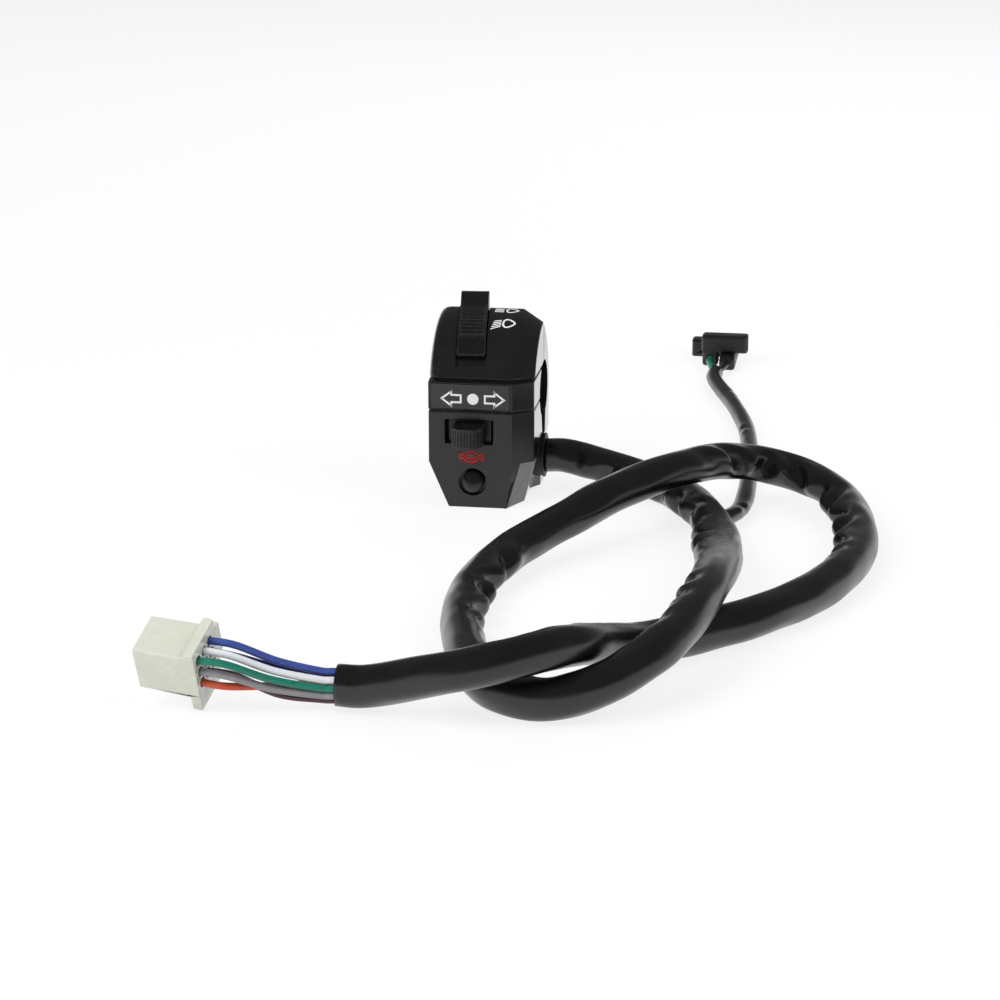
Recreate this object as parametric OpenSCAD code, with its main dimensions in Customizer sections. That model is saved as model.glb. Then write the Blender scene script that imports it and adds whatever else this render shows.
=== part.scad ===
// Motorbike handlebar switch cluster: a clamp housing in two halves that carries a beam lever,
// a turn slider and a horn button, with its sleeved harness lying in a loose knot before it.
// Millimetres, +Z up. The origin is on the handlebar axis, midway across the housing.
// X runs along the bar, -Y is the switch face, and the harness leaves towards +X.

/* [Housing] */
// Diameter of the handlebar that the two halves clamp round
bar_d = 22; // [20:0.1:23]
// Width of the housing along the bar
body_w = 40; // [38:0.5:44]
// Radius of the front and top about the bar axis
body_r = 31; // [30:0.25:33]
// How far the bevelled ends fall below the front and top
bevel = 5; // [3:0.25:6]
// Inset of the switch face's left edge from the left end
face_inset = 0.5; // [0.4:0.1:1.4]
// Rounding of the left end of the round top
end_round = 4.5; // [3.5:0.25:5]
// Right edge of the flat switch face
face_right = 12.5; // [11.5:0.25:14]
// Depth of the rear half behind the bar axis
back_depth = 20; // [18:0.25:22]
// Height of the bar axis above the flat foot
foot_drop = 39.5; // [39.5:0.25:42]
// Drop from the bar axis to where the sides start to slant in
knee_drop = 22; // [20:0.5:24]
// Wall of the lower body and of the end faces
wall = 2.4; // [2:0.1:2.8]
// Wall of the round top, which carries the lever channel
dome_wall = 4.4; // [4:0.1:4.8]
// Gap between the two halves at the parting plane
part_gap = 0.4; // [0.2:0.1:0.8]
// Width of the label plate
label_w = 29.4; // [26:0.2:29.8]
// Height of the label plate
label_h = 9.2; // [8:0.1:9.6]

/* [Beam lever] */
// Middle of the lever across the housing
lever_x = -6; // [-6.8:0.1:-5]
// Width of the lever
lever_w = 10.6; // [9.6:0.1:12]
// Radius of the top of the thumb tab
tab_r = 37; // [36:0.25:42]
// Swing of the lever from low to high beam
lever_swing = 19; // [12:0.5:19]
// Turn of the lever's swing away from the bar's square plane
lever_tilt = 5.2; // [0:0.1:6]
// Gap between the lever and its channel
lever_clear = 0.3; // [0.2:0.05:0.5]

/* [Turn slider] */
// Width of the knob
knob_w = 11.4; // [9:0.2:12]
// Height of the knob
knob_h = 7.3; // [6:0.1:8]
// How far the knob stands out from the switch face
knob_reach = 8.8; // [7:0.2:10]
// Height of the slot, open above the knob
slot_h = 9.2; // [8.8:0.1:9.6]
// Travel of the slider each way
turn_travel = 3; // [2:0.1:3]
// Gap between the knob and the slot round it
knob_clear = 0.3; // [0.2:0.05:0.5]

/* [Horn button] */
// Diameter of the button
horn_d = 8; // [7:0.1:8.2]
// How far the button stands out from the switch face
horn_reach = 4.4; // [3.6:0.1:5]
// Travel of the button
horn_travel = 2; // [1:0.1:2]
// Gap between the button and its guide
horn_clear = 0.3; // [0.2:0.05:0.4]

/* [Harness] */
// Diameter of the main sleeve
sleeve_d = 14; // [12:0.25:14]
// Diameter of the side lead
lead_d = 6.5; // [5.6:0.1:7]
// Diameter of one wire
wire_d = 2.4; // [1.8:0.1:2.4]
// Side of the square connector block
block_w = 16; // [15:0.25:18]

/* [Hidden] */
$fn = 64;
bar_r = bar_d / 2;
half_w = body_w / 2;
face_left = face_inset - half_w;
end_r = body_r - bevel;
dome_in_r = body_r - dome_wall;
// Circle of the back, through the top of the parting plane and upright at the bar's height
back_r = (back_depth * back_depth + body_r * body_r) / (2 * back_depth);
back_y = back_depth - back_r;
// Band round the housing between the top and the lower body
band_top = 9.2;
band_low = -1.5;
groove_low = -2.3;
groove_deep = 0.7;
groove_top = band_top + 0.8;
band_proud = 0.5;
band_y = -body_r - band_proud;
label_deep = 0.5;
label_thick = 0.6;
label_clear = 0.1;
label_at = [(face_left + face_right) / 2 - 0.1, (band_top + band_low) / 2];
// Feet of the switch face and of the outer outline
side_foot = [-half_w + 7.5, half_w - 4.6];
face_foot = [side_foot[0] + 0.6, 9.7];
// Step by which the end walls thicken below the bar
end_step = 0.4;
// Cable outlet
outlet_up = 13;
outlet_z = outlet_up - foot_drop;
outlet_r = 8.2;
outlet_clear = 0.1;
mouth_x = half_w + 1;
// Clamp screws, given as X and Z
screw_at = [[half_w - 6.8, 19.5], [6.8 - half_w, -19.5]];
screw_r = 2.5;
screw_seat = 7;
screw_head_r = 4.3;
insert_r = 3.5;
insert_tip = -11;
insert_len = 9;
// Beam lever, with angles measured up from the switch face about the bar axis
channel_r = body_r - 2;
channel_w = lever_w + 2 * lever_clear;
channel_low = 28;
lever_low = 35;
lever_top = 97;
lever_in_r = channel_r + lever_clear;
lever_out_r = body_r + 1.2;
rib_r = body_r + 2;
stem_low = 55;
stem_top = 67;
stem_w = 5;
arm_r = dome_in_r - 1.2;
arm_low = 52;
arm_top = 70;
pad_r = dome_in_r - 4.4;
pad_angles = [61, 80];
base_x = lever_x + 6.8;
tilt_y = -5;
// Turn slider
knob_at = [-4.1, -9.9];
knob_low = knob_at[1] - slot_h / 2 + knob_clear;
wall_in_y = -body_r + wall;
plate_gap = 0.3;
plate_y = wall_in_y + plate_gap;
plate_thick = 3;
plate_back = plate_y + plate_thick;
plate_w = 16;
board_y = plate_back + 3.3;
board_thick = 1.6;
detent_z = -14.3;
// Horn button
horn_at = [-2.8, 10.1 - foot_drop];
horn_r = horn_d / 2;
cup_floor = wall_in_y + 1.4;
cup_back = cup_floor + 1.6;
flange_y = cup_back + 0.3;
flange_thick = 1.2;
flange_r = horn_r + 1.15;
spring_y = flange_y + flange_thick;
spring_len = 5.3;
horn_board_y = spring_y + spring_len;
pad_thick = 0.6;
// Lowest and highest edge of the horn board, and its gap to the slanting side wall
horn_board_z = [horn_at[1] - 6.6, horn_at[1] + 6.9];
horn_board_x = [side_foot[0] + 2.4, 5.5];
disc_back = horn_board_y - pad_thick - horn_travel - 0.05;
// Connector block, resting on the edge of its flange
block_at = [-54, -254, -foot_drop + 16.5];
block_turn = [-24, -3, 170];
block_len = 17;
flange_len = 3.5;
pitch = 4.5;
cell_r = 1.8;
// Routes from the housing outwards, with heights above the floor
floor_z = -foot_drop;
sleeve_route = [
    [mouth_x, 0, outlet_up], [29, 0, outlet_up], [42, -1.5, 10.5], [56, -6, 7.5], [71, -18, 7],
    [84, -42, 7], [92, -73, 9.5], [96, -108, 13.5], [99, -145, 19.5],
    [98, -176, 22], [94, -204, 20.5], [85, -229, 17], [70, -244, 11],
    [54, -248, 7.5], [38, -241, 7], [28, -224, 7.5], [20, -196, 7],
    [16, -171, 7], [16, -138, 7], [24, -107, 9], [40, -84, 14],
    [58, -62, 19.5], [78, -40, 22], [92, -17, 18.5], [108, -8, 14.5],
    [125, -12, 10.5], [136, -26, 7], [142, -56, 7], [143, -90, 7],
    [135, -122, 7], [119, -152, 7], [98, -176, 7], [80, -196, 9],
    [69, -218, 15.5], [60, -241, 22.5], [46, -254, 22.5], [28, -256, 18],
    [10, -250, 11.5], [-2, -247, 8], [-11, -247, 8]
];
lead_route = [
    [89, -56, 6], [94, -46, 5], [98, -30, 3.5], [99, -8, 3.5], [98, 22, 3.5],
    [96, 54, 3.5], [92, 86, 3.5], [85, 118, 3.5], [77, 146, 3.5], [73, 162, 3.5], [73, 172, 3.5]
];
blue_route = [[-11, -247, 13], [-16, -247, 13], [-41.5, -254, 22], [-52.5, -252, 22.5]];
white_route = [[-11, -250, 10.5], [-16, -250, 10.5], [-42.5, -258, 20], [-53, -256, 20.5]];
navy_route = [[-11, -244, 10.5], [-16, -244, 10.5], [-41.5, -252, 17.5], [-52, -250, 18.5]];
orange_route = [[-11, -245, 7.5], [-16, -245, 7.5], [-43, -258.5, 10], [-53.5, -256.5, 10.5]];
green_route = [[-11, -250.5, 7], [-16, -250.5, 7], [-43, -262, 18.5], [-54, -260, 18.5]];
grey_route = [[-11, -249.5, 4.5], [-16, -249.5, 4.5], [-43, -260, 14], [-54, -258, 14.5]];
brown_route = [[-11, -246.5, 3], [-16, -246.5, 3], [-29, -248, 6], [-42, -254, 12],
    [-53, -252.5, 12.5]];
green_lead_route = [[71.5, 172, 3.5], [71.5, 175, 3.5], [68.5, 190, 3.5], [68.5, 196, 3.5]];
black_lead_route = [[74.5, 172, 3.5], [74.5, 175, 3.5], [76.5, 185, 3.5], [76.5, 189, 3.5]];
loom_route = [[1, -9, 11], [4, -3, 12.5], [8, 0, outlet_up], [mouth_x, 0, outlet_up]];
// Every node that can be drawn

// Box between two corners
module box(x0, x1, y0, y1, z0, z1) {
    translate([x0, y0, z0])
        cube([x1 - x0, y1 - y0, z1 - z0]);
}

// Cylinder along X through a point of the YZ plane
module along_x(x0, x1, r, y, z) {
    translate([x0, y, z])
        rotate([0, 90, 0])
            cylinder(h = x1 - x0, r = r);
}

// Cylinder along Y through a point of the XZ plane
module along_y(y0, y1, r, x, z) {
    translate([x, y0, z])
        rotate([-90, 0, 0])
            cylinder(h = y1 - y0, r = r);
}

// Outline in the XZ plane drawn out along Y
module prism_y(y0, y1, outline) {
    translate([0, y1, 0])
        rotate([90, 0, 0])
            linear_extrude(height = y1 - y0)
                polygon(outline);
}

// Outline in the YZ plane drawn out along X
module prism_x(x0, x1, outline) {
    translate([x0, 0, 0])
        rotate([90, 0, 90])
            linear_extrude(height = x1 - x0)
                polygon(outline);
}

// Outline in the XY plane drawn up along Z
module prism_z(z0, z1, outline) {
    translate([0, 0, z0])
        linear_extrude(height = z1 - z0)
            polygon(outline);
}

// Profile of radius against X, turned about the bar axis between two lever angles
module turned(low, top, profile) {
    rotate([0, 90, 0])
        rotate([0, 0, 270 - top])
            rotate_extrude(angle = top - low)
                polygon(profile);
}

// Block of one radius band and one width, turned between two lever angles
module sector(low, top, r0, r1, x0, x1) {
    turned(low, top, [[r0, x0], [r1, x0], [r1, x1], [r0, x1]]);
}

// Point of the YZ plane at a lever angle and radius
function polar(angle, r) = [-r * cos(angle), r * sin(angle)];

// Quarter round at the left end of a turned profile, from the end face up to the full radius
function left_round(r, x, e) = [for (a = [0 : 22.5 : 90]) [r - e + e * sin(a), e - x - e * cos(a)]];

// Shield outline of the lower body
function shield(left, right, foot_left, foot_right, top, knee, foot) =
    [[left, top], [right, top], [right, -knee], [foot_right, -foot], [foot_left, -foot], [left, -knee]];

// Frames carried along a route, and a round tube drawn through them
function unit(v) = v / norm(v);
function heading(p, i) = unit(p[min(i + 1, len(p) - 1)] - p[max(i - 1, 0)]);
function square_to(v, t) = unit(v - t * (v * t));
function carried(p, i) = i == 0
    ? square_to([0.1, 0.2, 1], heading(p, 0))
    : square_to(carried(p, i - 1), heading(p, i));
function ring(p, i, r, sides) =
    let (n = carried(p, i), b = cross(heading(p, i), n))
    [for (k = [0 : sides - 1]) p[i] + r * (n * cos(360 * k / sides) + b * sin(360 * k / sides))];

function on_floor(route) = [for (p = route) p + [0, 0, floor_z]];

module tube(route, r, sides) {
    last = len(route) - 1;
    points = [for (i = [0 : last]) each ring(route, i, r, sides)];
    skin = [for (i = [0 : last - 1], k = [0 : sides - 1])
        each [[i * sides + k, i * sides + (k + 1) % sides, (i + 1) * sides + k],
              [i * sides + (k + 1) % sides, (i + 1) * sides + (k + 1) % sides, (i + 1) * sides + k]]];
    start = [[for (k = [0 : sides - 1]) sides - 1 - k]];
    end = [[for (k = [0 : sides - 1]) last * sides + k]];
    faces = concat(skin, start, end);
    polyhedron(points = points, faces = [for (f = faces) [for (k = [len(f) - 1 : -1 : 0]) f[k]]]);
}

// Coil spring along +Z, with its wire inside the stated length
module coil(mean_r, wire_r, length, turns) {
    steps = 8 * turns;
    rise = length - 2 * wire_r - 0.1;
    tube([for (i = [0 : steps]) [mean_r * cos(45 * i), mean_r * sin(45 * i),
        wire_r + 0.05 + rise * i / steps]], wire_r, 6);
}

// Pieces of the beam switch, turned with the lever's swing about an upright line
module tilted() {
    translate([lever_x, tilt_y, 0])
        rotate([0, 0, lever_tilt])
            translate([-lever_x, -tilt_y, 0])
                children();
}

// Band, groove or lower body: the bevel runs from the switch face back to the outer outline
module face_block(front_y, side_y, face, side) {
    hull() {
        prism_y(front_y, front_y + 0.1, face);
        prism_y(side_y, 0, side);
    }
}

module level_block(inset, low, top, proud) {
    face = [[face_left + inset, low], [face_right - inset, low], [face_right - inset, top], [face_left + inset, top]];
    side = [[inset - half_w, low], [half_w - inset, low], [half_w - inset, top], [inset - half_w, top]];
    face_block(-body_r + inset - proud, -end_r + inset - proud, face, side);
}

// Slanting cut of the lower right side, from a ledge at the knee down past the foot
module right_cut(inset) {
    top = -knee_drop + inset;
    back = [-0.9, 0.43] * inset;
    knee = [face_right + 0.35 * (half_w - face_right), -body_r + 0.35 * bevel] + back;
    foot = [face_foot[1] + 0.6, -body_r + 0.4] + back;
    past = knee + (foot - knee) * (foot_drop + top + 1) / (foot_drop + top);
    run = [9.6, 20];
    hull() {
        prism_z(top - 0.1, top, [knee, knee + [20, -10], knee + run + [20, 0], knee + run]);
        prism_z(-foot_drop - 1, -foot_drop - 0.9, [past, past + [20, -10], past + run + [20, 0], past + run]);
    }
}

module front_outer() {
    difference() {
        turned(0, 90, concat([[0, -half_w]], left_round(body_r, half_w, end_round),
            [[body_r, face_right], [end_r, half_w], [0, half_w]]));
        // Groove between the band and the round top
        difference() {
            box(-half_w - 1, half_w + 1, -body_r - 1, 1, band_top, groove_top);
            prism_z(band_top - 1, groove_top + 1, [[0.6 - half_w, 2], [0.6 - half_w, 2.5 - end_r],
                [end_round - half_w, 2.7 - body_r], [face_right, 2.7 - body_r],
                [half_w - 0.6, 2.7 - end_r], [half_w - 0.6, 2]]);
        }
    }
    level_block(0, band_low, band_top, band_proud);
    level_block(groove_deep, groove_low, band_low, 0);
    difference() {
        face_block(-body_r, -end_r,
            shield(face_left, face_right, face_foot[0], face_foot[1], groove_low, knee_drop, foot_drop),
            shield(-half_w, half_w, side_foot[0], side_foot[1], groove_low, knee_drop, foot_drop));
        right_cut(0);
    }
    // Block round the lower side of the cable outlet
    prism_z(1 - foot_drop, outlet_z - 0.5, [[half_w - 8, 0], [half_w - 1, 0], [half_w - 1, -1],
        [half_w - 5.5, -8.5], [half_w - 8, -8.5]]);
}

module front_hollow() {
    in_w = half_w - wall;
    turned(-8, 98, [[0, -in_w], [end_r - 2.6, -in_w], [dome_in_r, end_round + 0.8 - half_w],
        [dome_in_r, face_right - 2], [end_r - 2.6, in_w], [0, in_w]]);
    difference() {
        hull() {
            prism_y(wall_in_y, wall_in_y + 0.1, shield(0.2 - in_w, face_right - 1.6,
                face_foot[0] + 1.6, face_foot[1] - 1.2, 7, knee_drop, foot_drop - wall));
            prism_y(-end_r + 1, 2, shield(end_step - in_w, in_w - end_step, side_foot[0] + 2.2, side_foot[1] - 2.2,
                7, knee_drop - 0.6, foot_drop - wall));
        }
        right_cut(wall - 0.2);
    }
}

// Bar bore, lever channel, cable outlet and the open slot that leads down to it
module shared_cuts() {
    along_x(-half_w - 1, half_w + 1, bar_r, 0, 0);
    tilted()
        sector(channel_low, 130, channel_r, 60, lever_x - channel_w / 2, lever_x + channel_w / 2);
    along_x(half_w - 9, half_w + 6, outlet_r, 0, outlet_z);
    prism_x(half_w - wall - 1, half_w + 1, [[-5.5, -9], [5, -9], [3.6, -19], [-2.7, -19]]);
}

module front_housing() {
    color([0.06, 0.06, 0.065])
    difference() {
        union() {
            difference() {
                front_outer();
                front_hollow();
            }
            // Bosses for the threaded inserts
            for (at = screw_at)
                along_y(insert_tip - 3, 0, 4.5, at[0], at[1]);
            // Guide cup of the horn button
            along_y(-body_r + 0.5, cup_back, horn_r + 2.9, horn_at[0], horn_at[1]);
            // Ribs that carry the beam switch
            tilted() {
                sector(66, 74, pad_r - 1.2, dome_in_r + 1, base_x + 1.6, base_x + 3.6);
                sector(50, 84, pad_r - 3.2, dome_in_r + 1, lever_x - 9.9, lever_x - 7.95);
            }
            // Ledges that carry the turn board and the horn board
            box(-half_w + 1, -12.5, board_y + board_thick, board_y + board_thick + 3, -12, -6);
            box(5, half_w - 1, board_y + board_thick, board_y + board_thick + 3, -12, -6);
            box(-8, 4, horn_board_y + board_thick, horn_board_y + board_thick + 3, -foot_drop + 1, horn_board_z[0] + 1.5);
        }
        shared_cuts();
        // Floor slot for the lever's stem
        tilted()
            sector(stem_low - 0.5, stem_top + lever_swing + 0.5, pad_r - 2.2, 60,
                lever_x - stem_w / 2 - 0.2, lever_x + stem_w / 2 + 0.2);
        // Slot of the turn knob
        box(knob_at[0] - knob_w / 2 - turn_travel - knob_clear, knob_at[0] + knob_w / 2 + turn_travel + knob_clear,
            -body_r - 1, wall_in_y + 0.1, knob_at[1] - slot_h / 2, knob_at[1] + slot_h / 2);
        // Recess and guide of the horn button
        along_y(-body_r - 1, cup_floor, horn_r + 1.4, horn_at[0], horn_at[1]);
        along_y(-body_r - 1, cup_back + 1, horn_r + horn_clear, horn_at[0], horn_at[1]);
        // Recess of the label plate
        box(label_at[0] - label_w / 2 - label_clear, label_at[0] + label_w / 2 + label_clear,
            band_y - 1, band_y + label_deep,
            label_at[1] - label_h / 2 - label_clear, label_at[1] + label_h / 2 + label_clear);
        // Seats of the threaded inserts
        for (at = screw_at)
            along_y(insert_tip, 1, insert_r, at[0], at[1]);
    }
}

// Rear half, drawn smaller by the wall when it is the hollow
module rear_form(in, front_y) {
    x = half_w - in;
    left = end_round - half_w + in * 0.3;
    right = face_right - in * 0.5;
    intersection() {
        translate([0, back_y, 0])
            turned(60, 180, concat([[0, -x]], left_round(back_r - in, x, end_round - in * 0.7),
                [[back_r - in, right], [back_r - bevel - in * 0.6, x], [0, x]]));
        box(-half_w, half_w, front_y, 60, 0, 60);
    }
    intersection() {
        translate([0, 0, -foot_drop + in + 0.4])
            linear_extrude(height = foot_drop - in - 0.4)
                polygon([[-x, front_y], [x, front_y], [x, back_depth - bevel - in * 0.6],
                    [right, back_depth - in], [left, back_depth - in], [-x, back_depth - bevel - in * 0.6]]);
        prism_y(-5, 60, [[-x, 1], [x, 1], [x, -knee_drop + 4], [half_w - 1 - in, -knee_drop],
            [half_w - 1.4 - in, -60], [side_foot[0] - 8.3 + in, -60], [side_foot[0] + in * 0.9, -foot_drop],
            [-x, -knee_drop]]);
    }
}

module rear_housing() {
    color([0.05, 0.05, 0.055])
    difference() {
        union() {
            difference() {
                rear_form(0, part_gap);
                rear_form(wall, -5);
            }
            intersection() {
                rear_form(0, part_gap);
                union() {
                    for (at = screw_at)
                        along_y(0, screw_seat + 3, 6, at[0], at[1]);
                    // Saddle rib against the bar
                    box(-1.2, 1.2, 0, 60, -17, 17);
                }
            }
        }
        shared_cuts();
        for (at = screw_at) {
            along_y(-1, 30, screw_r + 0.25, at[0], at[1]);
            along_y(screw_seat, 40, screw_head_r + 0.4, at[0], at[1]);
        }
    }
}

module label_plate() {
    color([0.2, 0.21, 0.21])
    box(label_at[0] - label_w / 2, label_at[0] + label_w / 2,
        band_y + label_deep - label_thick, band_y + label_deep,
        label_at[1] - label_h / 2, label_at[1] + label_h / 2);
}

module clamp_screws() {
    color([0.62, 0.62, 0.6])
    for (at = screw_at) {
        difference() {
            union() {
                along_y(insert_tip + 0.5, screw_seat, screw_r, at[0], at[1]);
                along_y(screw_seat, screw_seat + 3.2, screw_head_r, at[0], at[1]);
            }
            box(at[0] - 3, at[0] + 3, screw_seat + 1.6, screw_seat + 4, at[1] - 0.5, at[1] + 0.5);
            box(at[0] - 0.5, at[0] + 0.5, screw_seat + 1.6, screw_seat + 4, at[1] - 3, at[1] + 3);
        }
    }
}

module clamp_inserts() {
    color([0.72, 0.57, 0.25])
    for (at = screw_at)
        difference() {
            along_y(insert_tip, insert_tip + insert_len, insert_r, at[0], at[1]);
            along_y(insert_tip - 1, insert_tip + insert_len + 1, screw_r + 0.05, at[0], at[1]);
        }
}

module cable_grommet() {
    color([0.08, 0.08, 0.08])
    difference() {
        union() {
            along_x(half_w - 9.5, half_w + 0.3, outlet_r - outlet_clear, 0, outlet_z);
            along_x(half_w - 11.5, half_w - 9.5, outlet_r + 0.6, 0, outlet_z);
            along_x(half_w + 0.3, mouth_x, outlet_r + 0.3, 0, outlet_z);
        }
        along_x(0, mouth_x + 1, 5.5, 0, outlet_z);
    }
}

module inner_loom() {
    color([0.1, 0.1, 0.1])
    tube(on_floor(loom_route), 3.8, 10);
}

module dimmer_lever() {
    left = lever_x - lever_w / 2;
    right = lever_x + lever_w / 2;
    color([0.05, 0.05, 0.05])
    tilted()
    union() {
        sector(lever_low, lever_top, lever_in_r, lever_out_r, left, right);
        sector(49, 85, lever_in_r, rib_r, left + 0.4, right - 0.4);
        // Lip at the lower end
        sector(lever_low + 0.4, lever_low + 2.8, lever_in_r + 0.5, rib_r - 0.2, left + 0.2, right - 0.2);
        // Grip ribs
        for (i = [0 : 9])
            let (at = polar(51 + 3.4 * i, rib_r))
                along_x(left + 1, right - 1, 0.6, at[0], at[1]);
        // Thumb tab
        prism_x(left, right, [polar(81, lever_in_r + 1), polar(84, rib_r + 1), polar(88.5, tab_r - 0.6),
            polar(90.5, tab_r), polar(95.5, tab_r - 0.4), polar(96.8, tab_r - 2), polar(96.8, lever_in_r + 1)]);
        // Stem through the floor slot
        sector(stem_low, stem_top, arm_r, lever_in_r + 0.5, lever_x - stem_w / 2, lever_x + stem_w / 2);
    }
}

module dimmer_carrier() {
    at = polar(pad_angles[0], pad_r);
    color([0.75, 0.73, 0.66])
    tilted()
    difference() {
        sector(arm_low, arm_top, pad_r - 2.7, arm_r, lever_x - 5.9, lever_x + 4.5);
        along_x(lever_x - 7, lever_x - 1, 1.65, at[0], at[1]);
    }
}

module dimmer_contact() {
    color([0.78, 0.6, 0.28])
    tilted()
    sector(55, 67, pad_r - 1.7, pad_r + 1.8, lever_x + 4.5, lever_x + 5.5);
}

module dimmer_base() {
    color([0.4, 0.22, 0.11])
    tilted()
    difference() {
        sector(45, 88, pad_r - 5.2, dome_in_r - 0.3, base_x, base_x + 1.6);
        for (angle = pad_angles)
            let (at = polar(angle, pad_r))
                along_x(base_x - 1, base_x + 3, 1.25, at[0], at[1]);
    }
}

module dimmer_terminals() {
    color([0.78, 0.6, 0.28])
    tilted()
    for (angle = pad_angles)
        let (at = polar(angle, pad_r)) {
            along_x(base_x - 1.1, base_x, 1.8, at[0], at[1]);
            along_x(base_x, base_x + 3.2, 1.2, at[0], at[1]);
        }
}

module dimmer_spring() {
    at = polar(pad_angles[0], pad_r);
    color([0.7, 0.7, 0.7])
    tilted()
    translate([lever_x - 4.9, at[0], at[1]])
        rotate([0, 90, 0])
            coil(1.15, 0.3, 3.9, 3);
}

module dimmer_ball() {
    at = polar(pad_angles[0], pad_r);
    color([0.75, 0.75, 0.75])
    tilted()
    translate([lever_x - 6.4, at[0], at[1]])
        sphere(r = 1.5);
}

// Rounded grip with upright ridges, drawn up from its plan
module turn_knob() {
    front = -body_r - knob_reach;
    turn = [4, 6];
    plan = concat([[knob_w / 2, plate_y], [-knob_w / 2, plate_y]],
        [for (a = [0 : 15 : 90]) [turn[0] * (1 - cos(a)) - knob_w / 2, front + turn[1] * (1 - sin(a))]],
        [for (a = [90 : -15 : 0]) [knob_w / 2 - turn[0] * (1 - cos(a)), front + turn[1] * (1 - sin(a))]]);
    color([0.05, 0.05, 0.05])
    translate([knob_at[0], 0, knob_low])
        union() {
            linear_extrude(height = knob_h)
                polygon(plan);
            // Grip ridges
            for (a = [20 : 17.5 : 90], side = [-1, 1])
                translate([side * (knob_w / 2 - turn[0] * (1 - cos(a))), front + turn[1] * (1 - sin(a)) + 0.1, 0.5])
                    cylinder(h = knob_h - 1, r = 0.45);
            for (x = [-0.55, 0.55])
                translate([x, front + 0.1, 0.5])
                    cylinder(h = knob_h - 1, r = 0.45);
        }
}

module turn_carrier() {
    color([0.05, 0.05, 0.05])
    box(knob_at[0] - plate_w / 2, knob_at[0] + plate_w / 2, plate_y, plate_back, knob_at[1] - 6, knob_at[1] + 6);
}

module turn_contact() {
    color([0.78, 0.6, 0.28])
    union() {
        box(knob_at[0] - 4, knob_at[0] + 4, plate_back, plate_back + 0.8, knob_at[1] - 1.3, knob_at[1] + 3);
        along_y(plate_back, plate_back + 1.3, 1, knob_at[0], knob_at[1] + 0.8);
    }
}

module turn_base() {
    color([0.4, 0.22, 0.11])
    difference() {
        union() {
            box(knob_at[0] - 10.9, knob_at[0] + 11.1, board_y, board_y + board_thick, -17, -2.5);
            along_y(board_y - 2.4, board_y + 5, 2.8, knob_at[0], detent_z);
        }
        along_y(board_y - 3, board_y + 4, 1.65, knob_at[0], detent_z);
        for (i = [-1 : 1])
            along_y(board_y - 1, board_y + 3, 1.25, knob_at[0] + 5 * i, knob_at[1] + 0.8);
    }
}

module turn_terminals() {
    color([0.78, 0.6, 0.28])
    for (i = [-1 : 1]) {
        along_y(board_y - 1.9, board_y, 1.8, knob_at[0] + 5 * i, knob_at[1] + 0.8);
        along_y(board_y, board_y + 3.1, 1.2, knob_at[0] + 5 * i, knob_at[1] + 0.8);
    }
}

module turn_spring() {
    color([0.7, 0.7, 0.7])
    translate([knob_at[0], board_y - 0.25, detent_z])
        rotate([-90, 0, 0])
            coil(1.15, 0.3, 4.25, 3);
}

module turn_ball() {
    color([0.75, 0.75, 0.75])
    translate([knob_at[0], board_y - 1.75, detent_z])
        sphere(r = 1.5);
}

// Blunt conical cap, retaining flange and plunger, turned in one piece
module horn_button() {
    front = -body_r - horn_reach;
    tip = disc_back - 0.1;
    color([0.04, 0.04, 0.04])
    translate([horn_at[0], 0, horn_at[1]])
        rotate([-90, 0, 0])
            rotate_extrude()
                polygon([[0, front], [horn_r * 0.2, front + 0.15], [horn_r * 0.42, front + 0.65],
                    [horn_r * 0.75, front + 1.7], [horn_r * 0.92, front + 2.5], [horn_r, front + 3.4],
                    [horn_r, flange_y], [flange_r, flange_y], [flange_r, flange_y + flange_thick],
                    [1.5, flange_y + flange_thick], [1.5, tip], [0, tip]]);
}

module horn_contact() {
    color([0.78, 0.6, 0.28])
    difference() {
        along_y(disc_back - 0.6, disc_back, 3.2, horn_at[0], horn_at[1]);
        along_y(disc_back - 2, disc_back + 1, 1.5, horn_at[0], horn_at[1]);
    }
}

module horn_spring() {
    color([0.7, 0.7, 0.7])
    translate([horn_at[0], spring_y, horn_at[1]])
        rotate([-90, 0, 0])
            coil(4, 0.4, spring_len, 3);
}

module horn_base() {
    color([0.4, 0.22, 0.11])
    difference() {
        box(horn_board_x[0], horn_board_x[1], horn_board_y, horn_board_y + board_thick,
            horn_board_z[0], horn_board_z[1]);
        for (side = [-1, 1])
            along_y(horn_board_y - 1, horn_board_y + 3, 0.85, horn_at[0] + 1.8 * side, horn_at[1]);
    }
}

module horn_terminals() {
    color([0.78, 0.6, 0.28])
    for (side = [-1, 1]) {
        along_y(horn_board_y - pad_thick, horn_board_y, 1.2, horn_at[0] + 1.8 * side, horn_at[1]);
        along_y(horn_board_y, horn_board_y + 3, 0.8, horn_at[0] + 1.8 * side, horn_at[1]);
    }
}

module harness_sleeve() {
    color([0.05, 0.05, 0.055])
    tube(on_floor(sleeve_route), sleeve_d / 2, 10);
}

module side_lead() {
    color([0.07, 0.07, 0.075])
    tube(on_floor(lead_route), lead_d / 2, 8);
}

module wire_blue() {
    color([0.16, 0.24, 0.55])
    tube(on_floor(blue_route), wire_d / 2, 8);
}

module wire_white() {
    color([0.85, 0.86, 0.9])
    tube(on_floor(white_route), wire_d / 2, 8);
}

module wire_navy() {
    color([0.12, 0.12, 0.38])
    tube(on_floor(navy_route), wire_d / 2, 8);
}

module wire_orange() {
    color([0.8, 0.27, 0.16])
    tube(on_floor(orange_route), wire_d / 2, 8);
}

module wire_green() {
    color([0.06, 0.42, 0.34])
    tube(on_floor(green_route), wire_d / 2, 8);
}

module wire_grey() {
    color([0.5, 0.48, 0.5])
    tube(on_floor(grey_route), wire_d / 2, 8);
}

module wire_brown() {
    color([0.3, 0.15, 0.17])
    tube(on_floor(brown_route), wire_d / 2, 8);
}

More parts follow.
